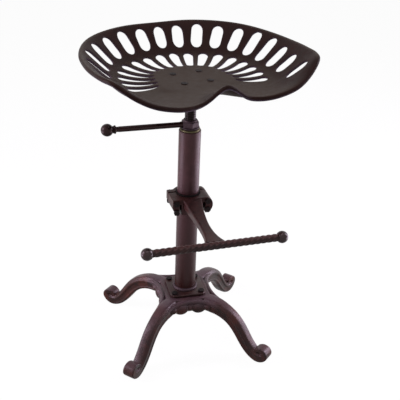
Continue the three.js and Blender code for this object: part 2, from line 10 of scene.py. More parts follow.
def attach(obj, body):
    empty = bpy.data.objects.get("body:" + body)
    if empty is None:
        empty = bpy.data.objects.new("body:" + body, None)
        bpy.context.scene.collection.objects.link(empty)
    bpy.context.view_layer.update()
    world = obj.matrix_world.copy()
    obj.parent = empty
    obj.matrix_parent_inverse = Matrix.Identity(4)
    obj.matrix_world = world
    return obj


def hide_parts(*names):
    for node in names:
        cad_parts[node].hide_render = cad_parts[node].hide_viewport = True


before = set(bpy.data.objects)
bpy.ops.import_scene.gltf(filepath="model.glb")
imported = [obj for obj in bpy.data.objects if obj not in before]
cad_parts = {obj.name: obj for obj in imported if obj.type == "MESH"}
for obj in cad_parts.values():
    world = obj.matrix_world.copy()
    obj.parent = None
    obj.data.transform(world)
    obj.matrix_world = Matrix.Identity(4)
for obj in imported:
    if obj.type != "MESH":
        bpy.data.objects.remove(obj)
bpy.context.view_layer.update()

# Shapes are worked out in millimetres about the column's axis, and set in place in metres.
columnPlace = np.array([0.0, 16.0, 0.0])
millimetre = 0.001
turnFull = 2 * pi
scene = bpy.context.scene
print("frame loaded")


# Shapes: a shape is its points and its faces.
def strip(near, far):
    after = np.roll(np.arange(len(near)), -1)
    return [(near[i], near[j], far[j], far[i]) for i, j in enumerate(after)]


def loft(rings, capped=True):
    rings = np.asarray(rings, float)
    rows = np.arange(rings.shape[0] * rings.shape[1]).reshape(rings.shape[:2])
    faces = [face for near, far in zip(rows, rows[1:]) for face in strip(near, far)]
    if capped:
        faces += [tuple(rows[0][::-1]), tuple(rows[-1])]
    return rings.reshape(-1, 3), faces


def arc(centre, radii, first, last, count):
    across, up = np.broadcast_to(radii, 2)
    return [(centre[0] + across * cos(t), centre[1] + up * sin(t))
            for t in np.radians(np.linspace(first, last, count))]


def around(steps):
    return np.linspace(0, turnFull, steps, endpoint=False)


def lathe(profile, steps=96, capped=True):
    return loft([[(r * cos(a), r * sin(a), z) for a in around(steps)] for r, z in profile], capped)


def ringLathe(profile, steps=96):
    return lathe([*profile, profile[0]], steps, capped=False)


def rod(radius, low, high, steps):
    return lathe([(radius, low), (radius, high)], steps)


def prism(outline, *levels):
    return loft([[(x, y, z) for x, y in outline] for z in levels])


def block(low, high):
    (x0, y0, z0), (x1, y1, z1) = low, high
    return prism([(x0, y0), (x1, y0), (x1, y1), (x0, y1)], z0, z1)


def ellipsoid(centre, radii, steps=24):
    turns = np.linspace(-pi / 2, pi / 2, steps // 2 + 1)
    turns[0], turns[-1] = turns[0] + 0.02, turns[-1] - 0.02
    points, faces = lathe([(cos(t), sin(t)) for t in turns], steps)
    return points * np.array(radii) + np.array(centre), faces


def tube(path, radius, steps=14):
    path = np.asarray(path, float)
    ways = np.gradient(path, axis=0)
    ways /= np.linalg.norm(ways, axis=1)[:, None]
    side = np.cross(ways[0], (0.31, 0.22, 0.93))
    rings = []
    for place, way in zip(path, ways):
        side = side - way * np.dot(side, way)
        side /= np.linalg.norm(side)
        other = np.cross(way, side)
        rings.append([place + radius * (cos(a) * side + sin(a) * other) for a in around(steps)])
    return loft(rings)


def cosSin(angle):
    return cos(radians(angle)), sin(radians(angle))


def joined(*shapes):
    points, faces, start = [], [], 0
    for shapePoints, shapeFaces in shapes:
        points.append(np.asarray(shapePoints, float))
        faces += [tuple(int(i) + start for i in face) for face in shapeFaces]
        start += len(shapePoints)
    return np.vstack(points), faces


def turned(shape, angle):
    points, faces = shape
    c, s = cosSin(angle)
    return np.asarray(points) @ np.array([[c, s, 0], [-s, c, 0], [0, 0, 1]]), faces


def moved(shape, x, y, z):
    return np.asarray(shape[0]) + np.array([x, y, z]), shape[1]


def swung(shape, axes):
    return np.asarray(shape[0]) @ np.array(axes).T, shape[1]


# What swings a lathe's axis from +Z to +X, +Y or -Y.
alongX = ((0, 0, 1), (0, 1, 0), (-1, 0, 0))
alongY = ((1, 0, 0), (0, 0, 1), (0, -1, 0))
againstY = ((1, 0, 0), (0, 0, -1), (0, 1, 0))


def smoothStep(x, low, high):
    t = np.clip((np.asarray(x, float) - low) / (high - low), 0, 1)
    return t * t * (3 - 2 * t)


def smoothTable(xs, ys):
    xs, ys = np.array(xs, float), np.array(ys, float)
    slopes = np.zeros(len(xs))
    slopes[1:-1] = (ys[2:] - ys[:-2]) / (xs[2:] - xs[:-2])

    def value(x):
        i = np.clip(np.searchsorted(xs, x, side="left") - 1, 0, len(xs) - 2)
        span = xs[i + 1] - xs[i]
        t = np.clip((x - xs[i]) / span, 0, 1)
        bend = t * (1 - t) * ((1 - t) * slopes[i] - t * slopes[i + 1]) * span
        return ys[i] + (ys[i + 1] - ys[i]) * t * t * (3 - 2 * t) + bend
    return value


# Objects.
def makeObject(name, shape):
    points, faces = shape
    mesh = bpy.data.meshes.new(name)
    mesh.from_pydata([tuple(p) for p in (np.asarray(points) + columnPlace) * millimetre], [],
                     [tuple(int(i) for i in face) for face in faces])
    mesh.validate()
    piece = bpy.data.objects.new(name, mesh)
    scene.collection.objects.link(piece)
    return piece


def settle(piece):
    graph = bpy.context.evaluated_depsgraph_get()
    mesh = bpy.data.meshes.new_from_object(piece.evaluated_get(graph))
    piece.modifiers.clear()
    piece.data = mesh
    mesh.name = piece.name
    return piece


def shapeOf(piece):
    return (np.array([v.co for v in piece.data.vertices]) / millimetre - columnPlace,
            [tuple(p.vertices) for p in piece.data.polygons])


def outwards(piece):
    work = bmesh.new()
    work.from_mesh(piece.data)
    bmesh.ops.recalc_face_normals(work, faces=work.faces)
    work.to_mesh(piece.data)
    work.free()
    return piece


# Marks a painted highlight on a piece: a share for each point, which its finish reads.
def markPaintedHighlight(piece, shares):
    mark = piece.data.attributes.new("paintedHighlight", "FLOAT", "POINT")
    mark.data.foreach_set("value", np.asarray(shares, float))


def cast(piece, voxel, rounds, added=(), cutters=()):
    for operation, partners in (("UNION", added), ("DIFFERENCE", cutters)):
        for partner in partners:
            step = piece.modifiers.new("shaping", "BOOLEAN")
            step.operation, step.solver, step.object = operation, "EXACT", partner
    voxels = piece.modifiers.new("voxels", "REMESH")
    voxels.mode, voxels.voxel_size = "VOXEL", voxel * millimetre
    soften = piece.modifiers.new("soften", "SMOOTH")
    soften.factor, soften.iterations = 0.5, rounds
    settle(piece)
    for partner in (*added, *cutters):
        bpy.data.objects.remove(partner)
    return piece


def bevelled(piece, width, angle=35):
    bevel = piece.modifiers.new("bevel", "BEVEL")
    bevel.width, bevel.segments = width * millimetre, 3
    bevel.limit_method, bevel.angle_limit = "ANGLE", radians(angle)
    return settle(piece)


def numbered(name):
    return [f"{name}_{i}" for i in range(1, 5)]


def picked(sizes, names):
    return [sizes[name] for name in names.split()]


# A piece takes the finish that its slot names, unless a look is given.
def finish(piece, body, slotName, nodes, sharpAngle=38, look=None):
    piece.data.shade_smooth()
    piece.data.set_sharp_from_angle(angle=radians(sharpAngle))
    piece.data.materials.clear()
    piece.data.materials.append(finishes[look or slotName])
    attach(piece, body)
    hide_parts(*nodes)


def addPiece(name, shape, *rest):
    finish(makeObject(name, shape), *rest)


# Geometry Nodes.
def newTree(name, sizes):
    tree = bpy.data.node_groups.new(name, "GeometryNodeTree")

    def socket(label, kind, way="INPUT"):
        return tree.interface.new_socket(label, in_out=way, socket_type="NodeSocket" + kind)

    kinds = {int: "Int", float: "Float", tuple: "Vector"}
    socket("Geometry", "Geometry")
    for label, value in sizes.items():
        socket(label, kinds[type(value)]).default_value = value
    socket("Finish", "Material")
    socket("Geometry", "Geometry", "OUTPUT")
    return tree, tree.nodes.new("NodeGroupInput").outputs


# An input takes a value, a socket, or a node's first output.
def addNode(tree, kind, inputs, **settings):
    node = tree.nodes.new(kind)
    for key, value in settings.items():
        setattr(node, key, value)
    for key, value in inputs.items():
        if isinstance(value, bpy.types.Node):
            value = value.outputs[0]
        if isinstance(value, bpy.types.NodeSocket):
            tree.links.new(value, node.inputs[key])
        else:
            node.inputs[key].default_value = value
    return node


def calculate(tree, operation, *values):
    return addNode(tree, "ShaderNodeMath", dict(enumerate(values)), operation=operation)


def closeTree(tree, given, geometry):
    real = addNode(tree, "GeometryNodeRealizeInstances", {"Geometry": geometry})
    painted = addNode(tree, "GeometryNodeSetMaterial", {"Geometry": real, "Material": given["Finish"]})
    tree.links.new(painted.outputs[0], tree.nodes.new("NodeGroupOutput").inputs["Geometry"])
    return tree


def grow(piece, tree, values):
    modifier = piece.modifiers.new(tree.name, "NODES")
    modifier.node_group = tree
    for item in tree.interface.items_tree:
        if item.item_type == "SOCKET" and item.in_out == "INPUT" and item.name in values:
            modifier[item.identifier] = values[item.name]
    return settle(piece)


def copiesAroundTree():
    tree, given = newTree("copiesAround", {"Count": 4, "Centre": (0.0, 0.0, 0.0), "First turn": 0.0})
    index = addNode(tree, "GeometryNodeInputIndex", {})
    step = calculate(tree, "DIVIDE", turnFull, given["Count"])
    turn = calculate(tree, "MULTIPLY_ADD", index, step, given["First turn"])
    spin = addNode(tree, "ShaderNodeCombineXYZ", {"Z": turn})
    middle = addNode(tree, "ShaderNodeVectorMath", {0: given["Centre"], "Scale": -1.0}, operation="SCALE")
    centred = addNode(tree, "GeometryNodeTransform", {"Geometry": given["Geometry"], "Translation": middle})
    places = addNode(tree, "GeometryNodePoints", {"Count": given["Count"], "Position": given["Centre"]})
    copies = addNode(tree, "GeometryNodeInstanceOnPoints", {
        "Points": places, "Instance": centred, "Rotation": spin})
    return closeTree(tree, given, copies)


def threadTree():
    tree, given = newTree("screwThread", {
        "Pitch": 0.005, "Turns": 50.0, "Ridge radius": 0.011, "Foot share": 0.8, "Crest share": 0.22,
        "Depth share": 0.58, "Low end": (0.0, 0.0, 0.0)})
    rise, foot, crest, depth = (calculate(tree, "MULTIPLY", given["Pitch"], given[label])
                                for label in ("Turns", "Foot share", "Crest share", "Depth share"))
    helix = addNode(tree, "GeometryNodeCurveSpiral", {
        "Resolution": 40, "Rotations": given["Turns"], "Start Radius": given["Ridge radius"],
        "End Radius": given["Ridge radius"], "Height": rise})
    upright = addNode(tree, "GeometryNodeSetCurveNormal", {"Curve": helix}, mode="Z_UP")
    ridge = addNode(tree, "GeometryNodeCurvePrimitiveQuadrilateral", {
        "Bottom Width": foot, "Top Width": crest, "Height": depth, "Offset": 0.0}, mode="TRAPEZOID")
    tipped = addNode(tree, "GeometryNodeTransform", {"Geometry": ridge, "Rotation": (0.0, 0.0, -pi / 2)})
    swept = addNode(tree, "GeometryNodeCurveToMesh", {
        "Curve": upright, "Profile Curve": tipped, "Fill Caps": True})
    placed = addNode(tree, "GeometryNodeTransform", {"Geometry": swept, "Translation": given["Low end"]})
    both = addNode(tree, "GeometryNodeJoinGeometry", {"Geometry": placed})
    tree.links.new(given["Geometry"], both.inputs[0])
    return closeTree(tree, given, both)


def twistTree():
    tree, given = newTree("twistedBar", {"Length": 0.27, "Twist pitch": 0.08, "Across flats": 0.0142,
                                         "Corner": 0.003, "Steps": 220})
    ends = [calculate(tree, "MULTIPLY", given["Length"], share) for share in (-0.5, 0.5)]
    low, high = (addNode(tree, "ShaderNodeCombineXYZ", {"X": end}) for end in ends)
    line = addNode(tree, "GeometryNodeCurvePrimitiveLine", {"Start": low, "End": high})
    fine = addNode(tree, "GeometryNodeResampleCurve", {"Curve": line, "Count": given["Steps"]})
    along = addNode(tree, "GeometryNodeSplineParameter", {}).outputs["Length"]
    tilt = calculate(tree, "MULTIPLY", calculate(tree, "DIVIDE", along, given["Twist pitch"]), -turnFull)
    twisted = addNode(tree, "GeometryNodeSetCurveTilt", {"Curve": fine, "Tilt": tilt})
    square = addNode(tree, "GeometryNodeCurvePrimitiveQuadrilateral", {
        "Width": given["Across flats"], "Height": given["Across flats"]})
    rounded = addNode(tree, "GeometryNodeFilletCurve", {
        "Curve": square, "Count": 4, "Radius": given["Corner"]}, mode="POLY")
    swept = addNode(tree, "GeometryNodeCurveToMesh", {
        "Curve": twisted, "Profile Curve": rounded, "Fill Caps": True})
    return closeTree(tree, given, swept)


copiesAround, screwThread, twistedBar = copiesAroundTree(), threadTree(), twistTree()
axisPlace = tuple(float(v) for v in columnPlace * millimetre)


def fourAround(piece, look):
    return grow(piece, copiesAround, {"Count": 4, "Centre": axisPlace, "Finish": finishes[look]})


print("node trees ready")


# Finishes.
def newMaterial(name):
    material = bpy.data.materials.new(name)
    material.use_nodes = True
    material.node_tree.nodes.clear()
    return material, material.node_tree


def castPaint(name, look):
    material, tree = newMaterial(name)

    def blend(share, first, second):
        return addNode(tree, "ShaderNodeMix", {0: share, 6: first, 7: second}, data_type="RGBA").outputs[2]

    def spread(value, low, high, lowest=0.0, highest=1.0):
        return addNode(tree, "ShaderNodeMapRange", {
            "Value": value, "From Min": low, "From Max": high, "To Min": lowest, "To Max": highest})

    def noise(scale, detail, roughness):
        return addNode(tree, "ShaderNodeTexNoise", {
            "Vector": where["Object"], "Scale": scale, "Detail": detail, "Roughness": roughness})

    def upward(vector):
        return addNode(tree, "ShaderNodeSeparateXYZ", {"Vector": where[vector]}).outputs["Z"]

    where = addNode(tree, "ShaderNodeTexCoord", {}).outputs
    mottle = noise(look["mottleScale"], 5.0, 0.6)
    blotch = noise(look["mottleScale"] * look["blotchShare"], 3.0, 0.5)
    grain = noise(look["grainScale"], 4.0, 0.65)
    colour = blend(spread(mottle, *look["mottleRange"]), look["dark"], look["light"])
    colour = blend(spread(blotch, *look["rustRange"], 0.0, look["rust"]), colour, look["rustTone"])
    facing = upward("Normal")
    # Painted highlight: faces turned up are lightened, as if lit from above.
    if look["topHighlightTone"]:
        topHighlight = spread(facing, *look["topHighlightRange"])
        topHighlight = calculate(tree, "MULTIPLY", topHighlight, spread(mottle, 0.2, 0.6, 0.7, 1.0))
        colour = blend(topHighlight, colour, look["topHighlightTone"])
    # Painted shade: the colour darkens towards the bottom, standing in for less light low down.
    if look["lowShadeTone"]:
        colour = blend(spread(upward("Object"), *look["lowShadeRange"]), look["lowShadeTone"], colour)
    # Painted highlight: points marked with a highlight share take the highlight tone.
    paintedHighlight = addNode(tree, "ShaderNodeAttribute", {}, attribute_name="paintedHighlight").outputs["Fac"]
    paintedHighlight = calculate(tree, "MULTIPLY", paintedHighlight, spread(grain, 0.3, 0.6, 0.55, 1.0))
    colour = blend(paintedHighlight, colour, look["highlightTone"])
    wavy = addNode(tree, "ShaderNodeBump", {
        "Height": mottle, "Strength": look["waviness"], "Distance": look["waveDepth"]})
    fine = addNode(tree, "ShaderNodeBump", {
        "Height": grain, "Strength": look["graininess"], "Distance": look["grainDepth"], "Normal": wavy})
    # Painted shade: faces turned down get less shine, so they look shaded.
    shine = look["shine"]
    shader = addNode(tree, "ShaderNodeBsdfPrincipled", {
        "Base Color": colour, "Roughness": spread(mottle, 0.3, 0.7, *look["gloss"]), "Normal": fine,
        "Metallic": look["metal"], "Specular Tint": look["shineTint"],
        "Specular IOR Level": spread(facing, *look["underShadeRange"], shine * look["underShadeShine"], shine)})
    addNode(tree, "ShaderNodeOutputMaterial", {"Surface": shader})
    return material


def rgb(red, green, blue):
    def linear(v):
        v = v / 255
        return v / 12.92 if v <= 0.04045 else ((v + 0.055) / 1.055) ** 2.4
    return (linear(red), linear(green), linear(blue), 1.0)


# In the looks, the highlight tone and the top highlight tone are painted highlights; the low shade tone and
# the lower shine on down-facing faces are painted shade.
ironLook = {
    "dark": rgb(38, 21, 20), "light": rgb(54, 33, 31), "rustTone": rgb(70, 38, 30), "rust": 0.45,
    "highlightTone": rgb(96, 78, 86), "topHighlightTone": None, "lowShadeTone": None, "mottleScale": 70.0, "grainScale": 900.0,
    "blotchShare": 0.28, "mottleRange": (0.35, 0.68), "rustRange": (0.45, 0.75), "gloss": (0.3, 0.44),
    "waviness": 0.14, "waveDepth": 0.002, "graininess": 0.1, "grainDepth": 0.0006, "metal": 0.0,
    "shine": 0.36, "shineTint": rgb(250, 228, 232), "underShadeShine": 0.2, "underShadeRange": (-0.55, 0.05)}
seatLook = dict(
    ironLook, dark=rgb(28, 16, 14), light=rgb(37, 20, 18), rustTone=rgb(46, 26, 22), rust=0.25,
    topHighlightTone=rgb(57, 46, 39), topHighlightRange=(0.88, 1.0), gloss=(0.4, 0.52), graininess=0.08, waviness=0.08,
    shine=0.1, shineTint=rgb(250, 212, 208), highlightTone=rgb(140, 124, 146))
# The column's colour darkens towards its foot: painted shade.
pipeLook = dict(
    ironLook, dark=rgb(63, 38, 40), light=rgb(80, 50, 54), lowShadeTone=rgb(42, 14, 11), lowShadeRange=(0.17, 0.42),
    rustTone=rgb(68, 34, 28), rust=0.4, mottleScale=26.0, gloss=(0.34, 0.44), waviness=0.06, shine=0.3)
clampLook = dict(
    ironLook, dark=rgb(40, 21, 20), light=rgb(60, 32, 31), gloss=(0.36, 0.5), shine=0.2,
    shineTint=rgb(250, 220, 222))
baseLook = dict(
    ironLook, dark=rgb(24, 9, 7), light=rgb(48, 22, 18), rustTone=rgb(98, 44, 30), rust=0.6,
    topHighlightTone=rgb(84, 61, 66), topHighlightRange=(0.5, 1.25), waviness=0.3, gloss=(0.28, 0.44), shine=0.34,
    underShadeRange=(-0.3, 0.5))
footrestLook = dict(
    ironLook, dark=rgb(22, 10, 9), light=rgb(36, 18, 16), shine=0.25, topHighlightTone=rgb(78, 50, 48),
    topHighlightRange=(0.5, 1.0))
knobLook = dict(ironLook, dark=rgb(24, 10, 9), light=rgb(38, 18, 16), gloss=(0.2, 0.3), shine=0.4)
blackLook = dict(
    ironLook, dark=rgb(22, 9, 9), light=rgb(36, 17, 16), rustTone=rgb(44, 20, 18), rust=0.3,
    highlightTone=rgb(70, 64, 70), gloss=(0.24, 0.36), shine=0.26, shineTint=rgb(250, 214, 214))
boltLook = dict(blackLook, dark=rgb(6, 5, 6), light=rgb(13, 11, 13), gloss=(0.42, 0.56), shine=0.16)
nutLook = dict(
    blackLook, dark=rgb(46, 34, 40), light=rgb(66, 52, 58), rustTone=rgb(50, 36, 36), gloss=(0.5, 0.62),
    shine=0.4)
screwLook = dict(
    blackLook, dark=rgb(8, 8, 9), light=rgb(16, 16, 17), rustTone=rgb(20, 16, 14), gloss=(0.2, 0.3),
    shine=0.16)
steelLook = dict(blackLook, dark=rgb(96, 96, 100), light=rgb(122, 122, 126), metal=1.0, rust=0.1)
brassLook = dict(
    ironLook, dark=rgb(74, 67, 46), light=rgb(94, 86, 62), rustTone=rgb(56, 48, 34), rust=0.4,
    metal=0.6, gloss=(0.4, 0.55), shineTint=rgb(240, 236, 220))
rubberLook = dict(blackLook, dark=rgb(12, 12, 12), light=rgb(20, 20, 20), gloss=(0.7, 0.85), shine=0.2)
finishes = {name: castPaint(name, look) for name, look in {
    "seat_iron": seatLook, "cast_iron": ironLook, "base_iron": baseLook, "clamp_iron": clampLook,
    "footrest_iron": footrestLook, "knob_iron": knobLook, "pipe_paint": pipeLook, "black_steel": blackLook,
    "nut_steel": nutLook, "screw_steel": screwLook, "bolt_steel": boltLook, "pin_steel": steelLook,
    "brass": brassLook, "liner_rubber": rubberLook}.items()}
print("finishes ready")


# Seat pan.
pan = {
    "halfWidth": 236.7, "discTop": 643, "rise": 57.6, "thickness": 5, "bead": 5,
    "rimAngles": [0, 25, 50, 75, 90, 105, 115, 122, 130, 138, 146, 154, 162, 168, 174, 180],
    "rimRadiusShares": [0.86, 0.912, 0.962, 0.975, 0.99, 1.035, 1.08, 1.09, 1.04, 0.98, 0.9, 0.82, 0.745,
                        0.725, 0.715, 0.71],
    "rimHeightShares": [1.04, 1.04, 1.02, 0.99, 1.01, 1.06, 1.1, 1.06, 0.69, 0.42, 0.26, 0.18, 0.2, 0.36,
                        0.59, 0.71],
    "sectionShares": [0, 0.34, 0.42, 0.54, 0.67, 0.76, 0.82, 0.88, 0.94, 1],
    "wallShares": [0, 0, -0.04, -0.03, 0.07, 0.24, 0.43, 0.65, 0.86, 1],
    "frontShares": [0, 0, 0, 0.05, 0.17, 0.32, 0.45, 0.62, 0.81, 1],
    "frontBlend": (132, 160), "edgeShare": 0.98, "beadSteps": 14, "beadTurns": (90, -100), "rimCount": 240,
    "edgeReach": 2.4, "edgeLoops": (0, 0.08, 0.3, 0.62, 1), "gridStep": 5.5, "gridReach": (3, 260),
    "gridClear": (2.5, 2.2, 3), "faceClear": (0, -0.05, 0.6),
    "outerWidth": 24.5, "outerTurns": [0, 13.75, 27.5, 41.1, 54.4, 67.4, 80.4, 93.4, 105.8, 120],
    "outerNear": [0.75, 0.742, 0.738, 0.737, 0.733, 0.728, 0.718, 0.715, 0.722, 0.745],
    "outerFar": [0.926, 0.922, 0.93, 0.922, 0.928, 0.94, 0.935, 0.903, 0.885, 0.9],
    "innerStep": 12.6, "innerSkew": 6.2, "innerReach": 8, "innerAngles": [0, 20, 45, 60, 80, 100],
    "innerPlaces": [121.1, 123, 128, 122.5, 116.5, 118.5], "innerLengths": [67, 67, 69.8, 75.9, 74.2, 67],
    "innerNarrows": [12.5, 12.5, 10, 8.5, 7, 6.5], "innerWide": 21, "innerForward": 15.1,
    # The rim and slot shares at the end paint a highlight on the rim's outer edge and on the openings' edges.
    "boltCircle": 41.8, "boltHole": 4.3, "boltLip": 0.7, "rimHighlight": 0.4, "rimHighlightTurn": 40, "rimHighlightFocus": 10,
    "slotHighlight": 0.3,
}
boltMiddles = np.array(arc((0, 0), pan["boltCircle"], 45, 315, 4))
rimRadius, rimHeight = (smoothTable(pan["rimAngles"], row)
                        for row in picked(pan, "rimRadiusShares rimHeightShares"))
wallRise, frontRise = (smoothTable(pan["sectionShares"], row)
                       for row in picked(pan, "wallShares frontShares"))


def rimAt(angle):
    return pan["halfWidth"] * rimRadius(np.abs((np.asarray(angle, float) + 180) % 360 - 180))


def flatRim(angle):
    return (rimAt(angle) - pan["bead"]) * pan["edgeShare"]


def panHeight(x, y):
    angle = np.degrees(np.arctan2(x, y))
    turn = np.abs(angle)
    share = np.hypot(x, y) / (rimAt(angle) - pan["bead"])
    front = smoothStep(turn, *pan["frontBlend"])
    rise = wallRise(share) * (1 - front) + frontRise(share) * front
    return pan["discTop"] + pan["rise"] * rimHeight(turn) * rise


def panNormal(x, y, step=0.5):
    slopeX = (panHeight(x + step, y) - panHeight(x - step, y)) / (2 * step)
    slopeY = (panHeight(x, y + step) - panHeight(x, y - step)) / (2 * step)
    normal = np.stack([-slopeX, -slopeY, np.ones_like(slopeX)], axis=-1)
    return normal / np.linalg.norm(normal, axis=-1)[..., None]


def panSlots():
    slots, outer, wide = [], pan["outerWidth"] / 2, pan["innerWide"] / 2
    for turn, nearShare, farShare in zip(pan["outerTurns"], pan["outerNear"], pan["outerFar"]):
        near, far = float(rimAt(turn) * nearShare), float(rimAt(turn) * farShare)
        slots += [(angle, near, far, outer, outer, 0.0) for angle in {-turn, turn}]
    tables = [smoothTable(pan["innerAngles"], row)
              for row in picked(pan, "innerPlaces innerLengths innerNarrows")]
    for i in range(-pan["innerReach"], pan["innerReach"] + 1):
        angle = i * pan["innerStep"] + pan["innerSkew"]
        place, length, narrow = (float(table(abs(angle))) for table in tables)
        slots.append((angle, place - length / 2, place + length / 2, narrow / 2, wide, -pan["innerForward"]))
    return slots


def slotLoop(slot, growth, endSteps=12, sideSteps=9):
    angle, near, far, a, b, forward = slot
    low, high = near + a, far - b
    nearTurns = np.linspace(pi, turnFull, endSteps + 1)
    farTurns = np.linspace(0, pi, endSteps + 1)
    sides = np.linspace(0, 1, sideSteps + 1)[1:-1]
    a, b = a + growth, b + growth
    local = [(a * cos(t), low + a * sin(t)) for t in nearTurns]
    local += [(a + (b - a) * s, low + (high - low) * s) for s in sides]
    local += [(b * cos(t), high + b * sin(t)) for t in farTurns]
    local += [(-b - (a - b) * s, high + (low - high) * s) for s in sides]
    c, s = cosSin(angle)
    return np.array([(x * c + y * s, -x * s + y * c + forward) for x, y in local])


def insideSlot(slot, points, growth):
    angle, near, far, a, b, forward = slot
    c, s = cosSin(angle)
    x, y = points[:, 0], points[:, 1] - forward
    across, along = x * c - y * s, x * s + y * c
    low, high = near + a, far - b
    width = a + (b - a) * np.clip((along - low) / (high - low), 0, 1) + growth
    straight = (along > low) & (along < high) & (np.abs(across) < width)
    return (straight | (np.hypot(across, along - low) < a + growth)
            | (np.hypot(across, along - high) < b + growth))


def clearOfOpenings(points, slots, rimGap, slotGap, boltGap):
    clear = np.hypot(*points.T) < flatRim(np.degrees(np.arctan2(*points.T))) - rimGap
    for slot in slots:
        clear &= ~insideSlot(slot, points, pan["edgeReach"] + slotGap)
    for middle in boltMiddles:
        clear &= np.hypot(*(points - middle).T) > pan["boltHole"] + boltGap
    return clear


# The pan seen from above: its points, how full its thickness is at each, and its faces.
def panPlan(innerRim):
    slots, loops = panSlots(), pan["edgeLoops"]
    openings = [[slotLoop(slot, pan["edgeReach"] * share) for share in loops] for slot in slots]
    circle = np.array(arc((0, 0), 1, 0, 342, 20))
    openings += [[middle + (pan["boltHole"] + pan["boltLip"] * share) * circle for share in loops]
                 for middle in boltMiddles]

    # Free points between the openings, kept off their edges.
    grid = []
    for row, radius in enumerate(np.arange(*pan["gridReach"], pan["gridStep"])):
        count = max(6, int(turnFull * radius / pan["gridStep"]))
        turns = (np.arange(count) + 0.5 * (row % 2)) * turnFull / count
        grid.append(np.stack([radius * np.sin(turns), radius * np.cos(turns)], axis=1))
    grid = np.vstack(grid)
    grid = grid[clearOfOpenings(grid, slots, *pan["gridClear"])]

    plan, fullness, strips = [innerRim], [np.ones(len(innerRim))], []
    borders, start = [np.arange(len(innerRim))], len(innerRim)
    for opening in openings:
        rows = []
        for share, loop in zip(loops, opening):
            rows.append(np.arange(start, start + len(loop)))
            plan.append(loop)
            fullness.append(np.full(len(loop), sqrt(1 - (1 - share) ** 2)))
            start += len(loop)
        borders.append(rows[-1])
        for near, far in zip(rows, rows[1:]):
            strips += strip(near, far)
    plan.append(grid)
    fullness.append(np.ones(len(grid)))
    plan, fullness = np.vstack(plan), np.concatenate(fullness)

    used = np.concatenate(borders + [np.arange(start, len(plan))])
    place = {int(v): i for i, v in enumerate(used)}
    edges = [(place[int(a)], place[int(b)]) for border in borders
             for a, b in zip(border, np.roll(border, -1))]
    _, _, triangles, origin, _, _ = delaunay_2d_cdt([Vector(plan[v]) for v in used], edges, [], 0, 1e-6)
    faces = np.array([[used[origin[i][0]] for i in face] for face in triangles])
    keep = clearOfOpenings(plan[faces].mean(axis=1), slots, *pan["faceClear"])
    return plan, fullness, [tuple(face) for face in faces[keep]] + strips


def panShape():
    rimTurns = np.linspace(0, 360, pan["rimCount"], endpoint=False)
    ways = np.stack([np.sin(np.radians(rimTurns)), np.cos(np.radians(rimTurns))], axis=1)
    plan, fullness, faces = panPlan(ways * flatRim(rimTurns)[:, None])
    x, y = plan.T
    normal, half = panNormal(x, y), pan["thickness"] / 2
    middle = np.stack([x, y, panHeight(x, y)], axis=1) - normal * half
    top, bottom = (middle + side * normal * (half * fullness)[:, None] for side in (1, -1))
    under = np.arange(len(plan)) + len(plan)
    shared = fullness == 0
    under[shared] = np.flatnonzero(shared)
    solid = faces + [tuple(under[list(face)][::-1]) for face in faces]

    # The rolled rim, from the top edge round to the underside.
    rimPlan = ways * (rimAt(rimTurns) - pan["bead"])[:, None]
    centre = np.column_stack([rimPlan, panHeight(*rimPlan.T) - pan["bead"]])
    out = np.column_stack([ways, np.zeros(len(ways))])
    beadTurns = np.radians(np.linspace(*pan["beadTurns"], pan["beadSteps"] + 1))
    rings = [centre + pan["bead"] * (cos(t) * out + sin(t) * np.array([0, 0, 1]))
             for t in beadTurns]
    points = np.vstack([top, bottom, *rings])
    count = len(rimTurns)
    rows = [np.arange(count), *np.arange(2 * len(plan), len(points)).reshape(-1, count), under[:count]]
    for near, far in zip(rows, rows[1:]):
        solid += strip(near, far)

    # Painted highlight on the lower part of the rim's outer edge and on the openings' edges.
    facing = np.maximum(0, np.cos(beadTurns + radians(pan["rimHighlightTurn"])))
    paintedHighlight = np.concatenate([np.tile(pan["slotHighlight"] * (1 - fullness), 2),
                             np.repeat(pan["rimHighlight"] * facing ** pan["rimHighlightFocus"], count)])

    # Points that no face uses are left out.
    kept = np.unique(np.concatenate([np.asarray(face) for face in solid]))
    place = np.zeros(len(points), int)
    place[kept] = np.arange(len(kept))
    return (points[kept], [tuple(place[list(face)]) for face in solid]), paintedHighlight[kept]


seatShape, seatPaintedHighlight = panShape()
seat = makeObject("seat_pan_casting", seatShape)
markPaintedHighlight(seat, seatPaintedHighlight)
finish(outwards(seat), "seat", "seat_iron", ["seat_pan"], 60)
print("seat pan", len(seat.data.polygons), "faces")


# Screw, flange and seat bolts.
screw = {"radius": 12, "core": 9.4, "top": 628, "shoulder": 328, "threadLow": 333, "threadTop": 602,
         "pitch": 5.0, "footShare": 0.8, "crestShare": 0.22, "depthShare": 0.58, "journal": 6,
         "journalLow": 300}
radius, shoulder, low, high, pitch = picked(screw, "radius shoulder threadLow threadTop pitch")
liftScrew = makeObject("lift_screw_thread", lathe([
    (screw["journal"], screw["journalLow"]), (screw["journal"], shoulder), (radius - 1, shoulder),
    (radius, shoulder + 1), (radius, low - 1), (screw["core"], low), (screw["core"], high),
    (radius, high + 1.5), (radius, screw["top"])], 64))
grow(liftScrew, screwThread, {
    "Pitch": pitch * millimetre, "Turns": (high - low - 4) / pitch,
    "Foot share": screw["footShare"], "Crest share": screw["crestShare"], "Depth share": screw["depthShare"],
    "Ridge radius": (radius - screw["depthShare"] / 2 * pitch) * millimetre,
    "Low end": (axisPlace[0], axisPlace[1], (low + 2) * millimetre), "Finish": finishes["screw_steel"]})
finish(liftScrew, "seat", "black_steel", ["lift_screw"], 30, "screw_steel")

